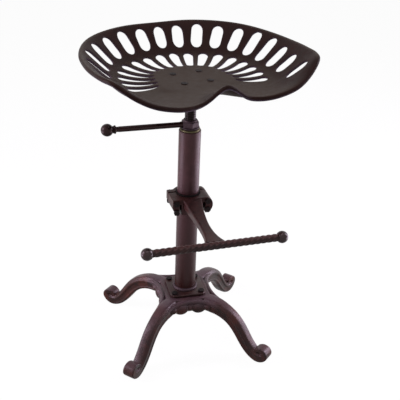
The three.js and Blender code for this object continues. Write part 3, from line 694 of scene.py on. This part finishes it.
flange = {"bottom": 600, "boss": 20, "radius": 56, "top": 637.7, "thickness": 6, "bore": 12.3, "round": 6}
bore, boss, radius, top, low = picked(flange, "bore boss radius top bottom")
under = top - flange["thickness"]
addPiece("seat_flange_casting", ringLathe([
    (bore, low), (boss - 1, low), (boss, low + 1),
    *arc((boss + flange["round"], under), flange["round"], 180, 270, 7), (radius - 1, under),
    (radius, under + 1), (radius, top - 1), (radius - 1, top), (bore, top)]),
    "seat", "cast_iron", ["seat_flange"])


def hexNut(corner, low, high, bore, turn=0.0):
    angles = around(72)
    flat = corner * cos(pi / 6)
    across = flat / np.cos((angles - radians(turn) + pi / 6) % (pi / 3) - pi / 6)
    rim = np.minimum(across, flat + 0.25)
    drop = (across - rim) * 0.6
    sections = ((bore, low), (rim, low), (across, low + drop), (across, high - drop), (rim, high),
                (bore, high), (bore, low))
    return loft([np.stack([radius * np.cos(angles), radius * np.sin(angles), height + 0 * angles], axis=1)
                 for radius, height in sections], capped=False)


def atBoltCircle(shape):
    reach = pan["boltCircle"] * sqrt(0.5)
    return moved(shape, reach, reach, 0)


bolts = {"headLow": 643.3, "headHigh": 645, "head": 6.8, "shank": 4, "low": 622.9, "nutCorner": 7.5,
         "nutLow": 624.9, "nutHigh": 631.4, "nutBore": 4.3}
head, shank, low, high = picked(bolts, "head shank headLow headHigh")
seatBolts = makeObject("seat_bolts", atBoltCircle(lathe([
    (shank, bolts["low"]), (shank, low), (head - 0.4, low), (head, low + 0.4), (head * 0.93, low + 1.3),
    (head * 0.74, high - 0.5), (head * 0.4, high - 0.1), (0.4, high)], 32)))
finish(fourAround(seatBolts, "bolt_steel"), "seat", "bolt_steel", numbered("seat_bolt"))
nuts = makeObject("seat_nuts", atBoltCircle(hexNut(*picked(bolts, "nutCorner nutLow nutHigh nutBore"))))
finish(fourAround(nuts, "bolt_steel"), "seat", "bolt_steel", numbered("seat_nut"), 25)
print("screw and flange ready")


# Column, its rings and the lock lever.
column = {"radius": 24, "bore": 20.8, "low": 98, "high": 526, "between": (200, 300, 400), "rimRound": 1.4,
          "topRing": (12.3, 21.8, 526.3, 530.5, 2.2), "footRing": (24.3, 28.5, 128.3, 134, 3.6)}
radius, bore, low, high, edge = picked(column, "radius bore low high rimRound")
addPiece("column_pipe", ringLathe([
    (bore, low), *[(radius, level) for level in (low, *column["between"])],
    *arc((radius - edge, high - edge), edge, 0, 90, 6), (bore, high), (bore, column["between"][1])], 128),
    "base", "pipe_paint", ["column_tube"])


def roundedRing(inner, outer, low, high, edge):
    shoulder = arc((outer - edge, high - edge), edge, 0, 90, 7)
    return ringLathe([(inner, low), (outer, low), *shoulder, (inner, high)])


addPiece("column_top_ring", roundedRing(*column["topRing"]), "base", "brass", ["top_ring"])
addPiece("column_foot_ring", roundedRing(*column["footRing"]),
         "base", "pipe_paint", ["foot_ring"], 38, "nut_steel")

lever = {"turn": 170.6, "height": 538.5, "rod": 5.6, "rodThick": 6.0, "rodRoot": 6.8, "rodStart": 13.2,
         "rodEnd": 164, "ball": 13.4, "ballNeck": 1.6, "collar": 9.2, "collarMiddle": 162.95,
         "nutLow": 531.1, "nutHigh": 546.1, "nutCorner": 19.4, "skirt": 20, "skirtHeight": 3, "dome": 15.5,
         "domeRound": 2.1, "domeHeight": 4, "bore": 12.3}


def alongLever(shape):
    return turned(moved(swung(shape, alongX), 0, 0, lever["height"]), lever["turn"])


bore, low, high, skirt, dome, domeRound = picked(lever, "bore nutLow nutHigh skirt dome domeRound")
skirtHigh, domeHigh = low + lever["skirtHeight"], high + lever["domeHeight"]
addPiece("lock_nut_body", joined(
    hexNut(lever["nutCorner"], low + 1, high, bore, lever["turn"]),
    ringLathe([(bore, low), (skirt - 0.8, low), (skirt, low + 0.8), (skirt, low + 2.2),
               (skirt - 1.6, skirtHigh), (bore, skirtHigh)]),
    ringLathe([(bore, high - 0.5), (dome, high - 0.5), *arc(
        (dome - domeRound, high), (domeRound, domeHigh - high), 0, 90, 7), (bore, domeHigh)])),
    "lever", "black_steel", ["lock_nut"], 25, "nut_steel")

thin, thick, root, start, end = picked(lever, "rod rodThick rodRoot rodStart rodEnd")
addPiece("lever_rod_bar", alongLever(lathe([
    (root, start + 2), (root, start + 7), (thick, start + 10), (thick, end - 12), (thin, end - 8),
    (thin, end)], 32)), "lever", "black_steel", ["lever_rod"], 50)
middle, foot = lever["collarMiddle"], thin + 1.2
addPiece("lever_collar_bead", alongLever(ringLathe([
    (thin + 0.3, middle - 3.4), *arc((foot, middle - 1), (lever["collar"] - foot, 2.3), -90, 90, 9),
    *arc((thin + 1, middle + 2.2), (1.4, 1.1), -90, 90, 7), (thin + 0.3, middle + 3.4)], 40)),
    "lever", "black_steel", ["lever_collar"], 50)


def ballProfile(radius, start, neck, neckRadius, steps=26):
    opening = asin(neckRadius / radius)
    middle = start + neck + radius * cos(opening)
    turns = np.linspace(opening, pi - 0.02, steps)
    return [(neckRadius, start), (neckRadius, start + neck * 0.6)] + [
        (radius * sin(t), middle - radius * cos(t)) for t in turns]


addPiece("lever_ball_end", alongLever(lathe(ballProfile(
    lever["ball"], end + 0.3, lever["ballNeck"], thin), 48)), "lever", "black_steel", ["lever_ball"], 50)
print("column and lever ready")


# Footrest: clamp halves, arm, bar, knobs and bolts.
footrest = {
    "turn": -7.7, "middle": 357, "height": 38, "half": 44, "front": 36, "split": 3.5, "splitGap": 3,
    "back": 20, "backRadius": 35, "rightEar": 16, "rightOut": 4, "bore": 26.6, "earChamfer": 9,
    "reliefs": [(-28, -24.5), (24.5, 30.5)], "reliefHeight": 26, "voxel": 0.9, "softening": 5,
    "armRoot": 23, "armShoulder": (5, 14), "armWaist": 11, "armWaistAt": (0.35, 0.72), "armToe": (3, 22),
    "armFlare": 25, "armReach": 205, "armDepthRoot": 21, "armDepthTip": 13, "armSag": 8, "armEdge": 3.2,
    "barHeight": 358, "barHalf": 134, "barFlats": 14.6, "barCorner": 4.6, "barBed": 8.8, "bedHalf": 45,
    "twistPitch": 50, "knob": 13, "knobNeck": 9.2, "boltOffset": 35.5, "boltPitch": 21, "boltHead": 7,
    "headHeight": 3.4, "bolt": 4, "nutBore": 4.3}
clampLow, clampHigh = (footrest["middle"] + side * footrest["height"] / 2 for side in (-1, 1))


def onFootrest(shape):
    return turned(shape, footrest["turn"])


def atBar(shape):
    return onFootrest(moved(shape, 0, -footrest["armReach"], footrest["barHeight"]))


def earBlock(front, back):
    reach, cut, ear, out, height = picked(footrest, "half earChamfer rightEar rightOut height")
    half = height / 2
    curve = arc((reach - ear + out, 0), (ear, half), -90, 90, 14)
    outline = [(-reach + cut, -half), *curve, (-reach, half), (-reach, -half + 2 * cut)]
    return loft([[(x, y, footrest["middle"] + z) for x, z in outline] for y in (back, front)])


def bezier(points, count):
    a, b, c, d = np.array(points, float)
    t = np.linspace(0, 1, count)[:, None]
    return a * (1 - t) ** 3 + 3 * b * t * (1 - t) ** 2 + 3 * c * t * t * (1 - t) + d * t ** 3


def armShape():
    tip, depth, wide, waist, flare = picked(footrest, "armReach armDepthTip armRoot armWaist armFlare")
    root, start = footrest["front"] - 6, footrest["front"] - 3
    waistNear, waistFar = (root + (tip - root) * share for share in footrest["armWaistAt"])
    (slimmer, after), (wider, before) = footrest["armShoulder"], footrest["armToe"]
    middle = (waist, (waistNear + waistFar) / 2)
    curve = [*bezier([(wide, root), (wide - slimmer, root + after), (waist + 1, waistNear), middle], 24),
             *bezier([middle, (waist, waistFar), (waist + wider, tip - before), (flare, tip)], 30)[1:]]
    tipTop = footrest["barHeight"] + depth / 2
    sagTop = (clampHigh + tipTop) / 2 - 2 * footrest["armSag"]
    rings = []
    for half, y in curve:
        t = np.clip((y - start) / (tip - start), 0, 1)
        weights = np.array([(1 - t) ** 2, 2 * t * (1 - t), t * t])
        top = weights @ (clampHigh, sagTop, tipTop)
        low = weights @ (clampHigh - footrest["armDepthRoot"], sagTop - depth - 3, tipTop - depth)
        edge = min(footrest["armEdge"], half * 0.4)
        corners = ((half - edge, top - edge), (edge - half, top - edge), (edge - half, low + edge),
                   (half - edge, low + edge))
        rings.append([(x, -y, z) for k, corner in enumerate(corners)
                      for x, z in arc(corner, edge, 90 * k, 90 * k + 90, 5)])
    return loft(rings)


def boreCutter():
    return makeObject("boreCut", onFootrest(rod(footrest["bore"], clampLow - 5, clampHigh + 5, 64)))


frontBlock = makeObject("clamp_front_casting", onFootrest(earBlock(-footrest["front"], footrest["split"])))
armPart = makeObject("armPart", onFootrest(armShape()))
reliefCut = makeObject("reliefCut", onFootrest(joined(*[block(
    (x0, -footrest["front"] - 4, clampLow - 4), (x1, -12, clampLow + footrest["reliefHeight"]))
    for x0, x1 in footrest["reliefs"]])))
bedHalf = footrest["bedHalf"]
bedCut = makeObject("bedCut", atBar(swung(rod(footrest["barBed"], -bedHalf, bedHalf, 48), alongX)))
cast(frontBlock, footrest["voxel"], footrest["softening"], [armPart], [boreCutter(), reliefCut, bedCut])
finish(frontBlock, "footrest", "clamp_iron", ["clamp_front_with_arm"], 70)

rearFace = footrest["split"] + footrest["splitGap"]
rearTurn = degrees(asin(rearFace / footrest["backRadius"]))
rearOutline = arc((0, 0), footrest["backRadius"], rearTurn, 180 - rearTurn, 40)
rear = makeObject("clamp_rear_casting", onFootrest(earBlock(rearFace, footrest["back"])))
roundPart = makeObject("roundPart", onFootrest(prism(rearOutline, clampLow, clampHigh)))
cast(rear, footrest["voxel"], footrest["softening"], [roundPart], [boreCutter()])
finish(rear, "footrest", "clamp_iron", ["clamp_rear"], 70)
print("clamp ready", len(frontBlock.data.polygons), len(rear.data.polygons), "faces")

bar = makeObject("footrest_twisted_bar", block((0, 0, 0), (1, 1, 1)))
grow(bar, twistedBar, {
    "Length": 2 * footrest["barHalf"] * millimetre, "Twist pitch": footrest["twistPitch"] * millimetre,
    "Across flats": footrest["barFlats"] * millimetre, "Corner": footrest["barCorner"] * millimetre,
    "Steps": 240, "Finish": finishes["footrest_iron"]})
barPlace = Vector((0, -footrest["armReach"], footrest["barHeight"])) * millimetre
bar.data.transform(Matrix.Translation(columnPlace * millimetre)
                   @ Matrix.Rotation(radians(footrest["turn"]), 4, "Z") @ Matrix.Translation(barPlace))
finish(bar, "footrest", "footrest_iron", ["footrest_bar"], 50)
knob = lathe(ballProfile(footrest["knob"], footrest["barHalf"] + 0.3, 0, footrest["knobNeck"]), 48)
for knobTurn, label in ((180, "left"), (0, "right")):
    addPiece(f"footrest_end_ball_{label}", atBar(turned(swung(knob, alongX), knobTurn)),
             "footrest", "footrest_iron", [f"footrest_knob_{label}"], 50, "knob_iron")

front, back, headHeight = footrest["front"], -footrest["back"], footrest["headHeight"]
boltPart = joined(hexNut(footrest["boltHead"], front + 0.3, front + headHeight, 1.0, 20),
                  rod(footrest["bolt"], back - headHeight - 3, front + 3, 24))
nutPart = hexNut(footrest["boltHead"], back - headHeight, back - 0.3, footrest["nutBore"], 10)
for kind, part in (("bolt", boltPart), ("nut", nutPart)):
    four = joined(*[moved(swung(part, againstY), side * footrest["boltOffset"], 0,
                          footrest["middle"] + level * footrest["boltPitch"] / 2)
                    for side in (-1, 1) for level in (-1, 1)])
    finish(outwards(makeObject(f"clamp_{kind}s", onFootrest(four))),
           "footrest", "bolt_steel", numbered(f"clamp_{kind}"), 25)
print("footrest ready")


# Base casting.
base = {
    "turn": -11, "plateTop": 128, "plate": 6, "plateHalf": 41.5, "plateCut": 7, "plateEdge": 0.9,
    "boltPlace": 31.5, "boltHead": 7, "headHeight": 4, "bolt": 4, "boltLow": 106, "legStart": 74,
    "legReach": 151, "legSteps": 110, "rootDepth": 34, "legHalf": 14, "hubLegHalf": 17, "hubTop": 121.7,
    "hubSteps": 128, "hubFocus": 4, "flareEnd": 1.8, "footFrom": (0.8, 1), "scrollHalf": 0.8,
    "hubLevels": [(84, 43), (93, 45.5), (103, 48), (110, 51.5), (115.7, 53), (119, 52.6), (121.7, 50)],
    "reachShares": [0, 0.12, 0.246, 0.364, 0.464, 0.543, 0.61, 0.682, 0.768, 0.861, 0.947, 0.993, 0.98,
                    0.917, 0.854, 0.841],
    "riseShares": [1, 0.985, 0.925, 0.82, 0.672, 0.505, 0.34, 0.182, 0.05, 0, 0.045, 0.145, 0.255, 0.31,
                   0.28, 0.23],
    "depthShares": [1, 1, 0.97, 0.94, 0.91, 0.88, 0.85, 0.82, 0.765, 0.647, 0.53, 0.456, 0.382, 0.338,
                    0.28, 0.235],
    "section": [(0, 1.0), (0.34, 0.99), (0.6, 0.95), (0.72, 0.87), (0.8, 0.74), (0.92, 0.6), (1.0, 0.46),
                (1.0, 0.28), (0.93, 0.19), (0.86, 0.12), (0.84, 0), (0.84, -0.4), (0.86, -0.52),
                (0.92, -0.58), (0.92, -0.72), (0.8, -0.9), (0.6, -0.98), (0.3, -1.0), (0, -1.0)],
    "plainSection": [(0, 1.0), (0.34, 1.0), (0.7, 1.0), (0.84, 0.99), (0.93, 0.96), (0.98, 0.88), (1.0, 0.76),
                     (1.0, 0.5), (1.0, 0.3), (1.0, 0.12), (1.0, 0), (1.0, -0.3), (1.0, -0.52),
                     (1.0, -0.76), (0.98, -0.88), (0.93, -0.96), (0.84, -0.99), (0.5, -1.0), (0, -1.0)],
    "inward": (20, 50, 68), "footNarrowing": 0.2, "plainFrom": (0.6, 0.72),
    "scrollReach": 0.917, "scrollHeight": 21, "scrollCore": 12, "scrollGroove": 1.4,
    "moulding": [(-64, 80, 106), (-52, 70, 111.5), (-38, 62, 114.5), (-20, 57, 116), (0, 55.5, 116.5),
                 (20, 57, 116), (38, 62, 114.5), (52, 70, 111.5), (64, 80, 106)], "mouldingRadius": 5.2,
    "lobes": [((21, 56, 101), (18, 10, 15)), ((41, 62, 102), (10, 7, 9)), ((-21, 56, 101), (18, 10, 15)),
              ((-41, 62, 102), (10, 7, 9)), ((0, 50, 104), (52, 10, 15)), ((0, 58, 103), (6, 6, 8))],
    # The arch share, heights and reaches paint a highlight on the moulding's arch under the plate.
    "voxel": 1.1, "softening": 2, "archHighlight": 0.45, "highlightHeights": (98, 112), "highlightFrom": (50, 56),
    "highlightTo": (84, 104),
}
legRise = base["hubTop"] - base["rootDepth"]


# A smooth curve through the points, without loops where they are close together.
def smoothPath(points, steps):
    points = np.asarray(points, float)
    gaps = np.maximum(np.linalg.norm(np.diff(points, axis=0), axis=1), 1e-6) ** 0.5
    knots = np.concatenate([[0], np.cumsum(gaps)])
    padded = np.vstack([2 * points[0] - points[1], points, 2 * points[-1] - points[-2]])
    ts = np.concatenate([[knots[0] - gaps[0]], knots, [knots[-1] + gaps[-1]]])
    result = []
    for t in np.linspace(knots[0], knots[-1] - 1e-9, steps):
        i = int(np.clip(np.searchsorted(knots, t, side="right") - 1, 0, len(points) - 2)) + 1
        k, values = ts[i - 1:i + 3], list(padded[i - 1:i + 3])
        for low, high in (((0, 1, 2), (1, 2, 3)), ((0, 1), (2, 3)), ((1,), (2,))):
            values = [((k[b] - t) * values[j] + (t - k[a]) * values[j + 1]) / (k[b] - k[a])
                      for j, (a, b) in enumerate(zip(low, high))]
        result.append(values[0])
    return np.array(result)


def legShape():
    start, reach, depth = base["legStart"], base["legReach"], base["rootDepth"]
    path = smoothPath([(start + reach * r, depth * d, legRise * h + depth * d / 2)
                       for r, h, d in zip(*picked(base, "reachShares riseShares depthShares"))],
                      base["legSteps"])
    count = len(base["inward"])
    path = np.vstack([[[x, depth, legRise + depth / 2] for x in base["inward"]], path])
    ways = np.gradient(path[:, [0, 2]], axis=0)
    ways /= np.linalg.norm(ways, axis=1)[:, None]
    rings = []
    for i, ((x, deep, z), (dx, dz)) in enumerate(zip(path, ways)):
        share = max(0, i - count) / (len(path) - count - 1)
        flare = float(smoothStep(x, start, base["flareEnd"] * start))
        foot = float(smoothStep(share, *base["footFrom"])) * base["footNarrowing"]
        half = (base["hubLegHalf"] + (base["legHalf"] - base["hubLegHalf"]) * flare) * (1 - foot)
        plain = float(smoothStep(share, *base["plainFrom"]))
        section = (1 - plain) * np.array(base["section"]) + plain * np.array(base["plainSection"])
        section = np.vstack([section, section[-2:0:-1] * np.array([-1, 1])])
        rings.append([(x - dz * up * deep / 2, across * half, z + dx * up * deep / 2)
                      for across, up in section])
    points, faces = loft(rings)
    half = base["scrollHalf"] * base["legHalf"] - base["scrollGroove"]
    core = swung(rod(base["scrollCore"], -half, half, 32), alongY)
    return joined((points, [face[::-1] for face in faces]),
                  moved(core, start + base["scrollReach"] * reach, 0, base["scrollHeight"]))


def hubShape():
    corner, bottom = base["legStart"] - base["hubLegHalf"] / 2, base["hubLevels"][0][0]
    rings = []
    for row, (height, half) in enumerate(base["hubLevels"]):
        ring = []
        for turn in around(base["hubSteps"]):
            push = abs(sin(2 * turn)) ** base["hubFocus"]
            radius = half + (corner - half) * push
            level = height + (legRise - bottom) * push * max(0, 1 - row / 2)
            ring.append((radius * cos(turn), radius * sin(turn), level))
        rings.append(ring)
    return loft(rings)


moulding = tube(smoothPath(base["moulding"], 60), base["mouldingRadius"])
quarter = joined(turned(legShape(), 45), moulding, *[ellipsoid(*lobe) for lobe in base["lobes"]])
casting = fourAround(makeObject("base_casting", turned(quarter, base["turn"])), "cast_iron")
whole = joined(shapeOf(casting), turned(hubShape(), base["turn"]))
bpy.data.objects.remove(casting)
casting = cast(makeObject("base_casting", whole), base["voxel"], base["softening"])
# Painted highlight on the arch moulding under the plate, which faces up and to the front.
x, y, z = shapeOf(casting)[0].T
reach = np.hypot(x, y)
markPaintedHighlight(casting, base["archHighlight"] * smoothStep(z, *base["highlightHeights"]) * smoothStep(reach, *base["highlightFrom"])
           * (1 - smoothStep(reach, *base["highlightTo"])))
finish(casting, "base", "cast_iron", ["base_hub", *numbered("leg"), *numbered("swag")], 70, "base_iron")
print("base casting", len(casting.data.polygons), "faces")

half, near = base["plateHalf"], base["plateHalf"] - base["plateCut"]
corners = [(half, near), (near, half), (-near, half), (-half, near),
           (-half, -near), (-near, -half), (near, -half), (half, -near)]
turn, top, place, shank = picked(base, "turn plateTop boltPlace bolt")
plate = makeObject("column_plate_cover", turned(prism(corners, top - base["plate"], top), turn))
finish(bevelled(plate, base["plateEdge"]), "base", "cast_iron", ["column_plate"])
plateBolt = joined(hexNut(base["boltHead"], top + 0.3, top + base["headHeight"], 0.5),
                   rod(shank, base["boltLow"], top + 2, 24))
plateBolts = makeObject("plate_bolts", turned(moved(plateBolt, place, place, 0), turn))
finish(outwards(fourAround(plateBolts, "bolt_steel")), "base", "bolt_steel", numbered("plate_bolt"), 25)

# CAD pieces that show as they are take a finish only.
kept = {"column_insert": "brass", "screw_pin": "pin_steel", "screw_guide": "brass",
        "screw_end_nut": "bolt_steel", "clamp_liner": "liner_rubber"}
for name, finishName in kept.items():
    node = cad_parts[name]
    node.data.materials.clear()
    node.data.materials.append(finishes[finishName])
print("base ready")


# Camera, lights and floor.
view = {"place": (-0.6979, -1.4874, 1.2471), "turn": 25.851, "pitch": 28.264, "roll": 2.338, "lens": 76.06}
turn, pitch, roll = (radians(value) for value in picked(view, "turn pitch roll"))
level = Vector((cos(turn), -sin(turn), 0))
ahead = Vector((sin(turn), cos(turn), 0))
forward = ahead * cos(pitch) - Vector((0, 0, sin(pitch)))
above = ahead * sin(pitch) + Vector((0, 0, cos(pitch)))
rightWay = level * cos(roll) + above * sin(roll)
upWay = above * cos(roll) - level * sin(roll)
cameraData = bpy.data.cameras.new("photoCamera")
cameraData.lens, cameraData.sensor_width, cameraData.clip_end = view["lens"], 36, 50
camera = bpy.data.objects.new("photoCamera", cameraData)
camera.matrix_world = Matrix.Translation(view["place"]) @ Matrix(
    (rightWay, upWay, -forward)).transposed().to_4x4()
scene.collection.objects.link(camera)
scene.camera = camera

# Each lamp: azimuth and elevation from the camera's side, distance, size, power and tone.
lamps = {
    "overhead": (0, 80, 1.9, (1.5, 1.5), 10.6, (1.0, 0.94, 0.96)),
    "leftStrip": (-80, 22, 1.9, (0.7, 1.1), 25, (0.92, 0.84, 1.0)),
    "rightStrip": (109, 21, 1.9, (0.6, 1.15), 23, (0.87, 0.82, 1.0)),
    "lowLeft": (-78, -16, 1.0, (0.6, 0.3), 3.6, (0.9, 0.82, 1.0)),
    "lowRight": (104, -19, 0.9, (0.9, 0.3), 5, (0.9, 0.82, 1.0)),
    "frontFill": (10, 35, 2.6, (1.8, 1.8), 2, (1.0, 1.0, 1.0)),
}
aim = Vector((0, 0.016, 0.4))
for name, (azimuth, elevation, distance, size, power, tone) in lamps.items():
    a, e = radians(azimuth) - turn, radians(elevation)
    place = aim + distance * Vector((sin(a) * cos(e), -cos(a) * cos(e), sin(e)))
    data = bpy.data.lights.new(name, "AREA")
    data.shape, data.energy, data.color = "RECTANGLE", power, tone
    data.size, data.size_y = size
    lamp = bpy.data.objects.new(name, data)
    lamp.location = place
    lamp.rotation_mode = "QUATERNION"
    lamp.rotation_quaternion = (aim - place).to_track_quat("-Z", "Y")
    scene.collection.objects.link(lamp)


def seenDirectly(tree):
    rays = addNode(tree, "ShaderNodeLightPath", {}).outputs
    total = rays["Is Camera Ray"]
    for kind in ("Is Glossy Ray", "Is Transmission Ray"):
        total = calculate(tree, "MAXIMUM", total, rays[kind])
    return total


# Seen directly, the background is white; as light, the world gives only a little.
stage = {"worldLight": (0.07, 0.07, 0.07, 1), "floorColour": (0.62, 0.6, 0.6, 1), "glow": 1.09,
         "glowShare": 0.88, "floorReach": 6000, "floorHeight": -0.4}
world = bpy.data.worlds.new("studio")
scene.world = world
world.use_nodes = True
tree = world.node_tree
seen = addNode(tree, "ShaderNodeMix", {0: seenDirectly(tree), 6: stage["worldLight"], 7: (1, 1, 1, 1)},
               data_type="RGBA")
tree.links.new(seen.outputs[2], tree.nodes["Background"].inputs["Color"])

far, floorHeight = stage["floorReach"], stage["floorHeight"]
corners = ((-far, -far), (far, -far), (far, far), (-far, far))
floor = makeObject("studioFloor", ([(x, y, floorHeight) for x, y in corners], [(0, 1, 2, 3)]))
pale, tree = newMaterial("paleFloor")
matte = addNode(tree, "ShaderNodeBsdfDiffuse", {"Color": stage["floorColour"]})
glow = addNode(tree, "ShaderNodeEmission", {"Strength": stage["glow"]})
share = calculate(tree, "MULTIPLY", seenDirectly(tree), stage["glowShare"])
mixed = addNode(tree, "ShaderNodeMixShader", {0: share, 1: matte, 2: glow})
addNode(tree, "ShaderNodeOutputMaterial", {"Surface": mixed})
floor.data.materials.append(pale)
scene.view_settings.view_transform = "Standard"

print("scene ready")
